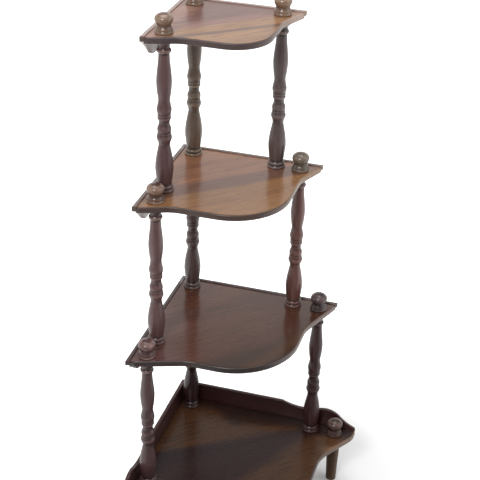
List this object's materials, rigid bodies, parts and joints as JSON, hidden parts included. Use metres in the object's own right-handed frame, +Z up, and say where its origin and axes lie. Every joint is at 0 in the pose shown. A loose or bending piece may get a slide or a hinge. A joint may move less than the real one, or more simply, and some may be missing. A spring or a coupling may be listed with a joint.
{
  "type": "corner shelf",
  "caption": "Free-standing corner shelf of dark stained wood: tiers that widen downwards, serpentine fronts, turned posts and finials, back rails and a shaped gallery.",
  "frame": {"origin": "on the floor, at the middle of the bounding box in width and depth", "axes": "+X to the right, +Y back towards the room corner, +Z up; the two walls stand at 45 degrees to X and meet at the back"},
  "size_m": [0.529, 0.4024, 1.0197],
  "materials": {
    "stained_board": "glossy dark mahogany stain, grain from side to side",
    "stained_turning": "glossy dark mahogany stain on turned wood, grain upright",
    "screw_steel": "plain bright steel"
  },
  "bodies": {
    "root": {"back_leg": "stained_turning", "bottom_left_finial": "stained_turning", "bottom_left_gallery": "stained_board", "bottom_right_finial": "stained_turning", "bottom_right_gallery": "stained_board", "bottom_shelf": "stained_board", "bottom_shelf_board_pins": "screw_steel", "bottom_shelf_double_ended_screws": "screw_steel", "bottom_shelf_foot_screws": "screw_steel", "left_leg": "stained_turning", "right_leg": "stained_turning", "second_left_finial": "stained_turning", "second_left_rail": "stained_board", "second_right_finial": "stained_turning", "second_right_rail": "stained_board", "second_shelf": "stained_board", "second_shelf_board_pins": "screw_steel", "second_shelf_double_ended_screws": "screw_steel", "second_shelf_foot_screws": "screw_steel", "second_tier_back_post": "stained_turning", "second_tier_left_post": "stained_turning", "second_tier_right_post": "stained_turning", "third_left_finial": "stained_turning", "third_left_rail": "stained_board", "third_right_finial": "stained_turning", "third_right_rail": "stained_board", "third_shelf": "stained_board", "third_shelf_board_pins": "screw_steel", "third_shelf_double_ended_screws": "screw_steel", "third_shelf_foot_screws": "screw_steel", "third_tier_back_post": "stained_turning", "third_tier_left_post": "stained_turning", "third_tier_right_post": "stained_turning", "top_back_finial": "stained_turning", "top_left_finial": "stained_turning", "top_left_rail": "stained_board", "top_right_finial": "stained_turning", "top_right_rail": "stained_board", "top_shelf": "stained_board", "top_shelf_board_pins": "screw_steel", "top_shelf_double_ended_screws": "screw_steel", "top_tier_back_post": "stained_turning", "top_tier_left_post": "stained_turning", "top_tier_right_post": "stained_turning"}
  },
  "joints": []
}
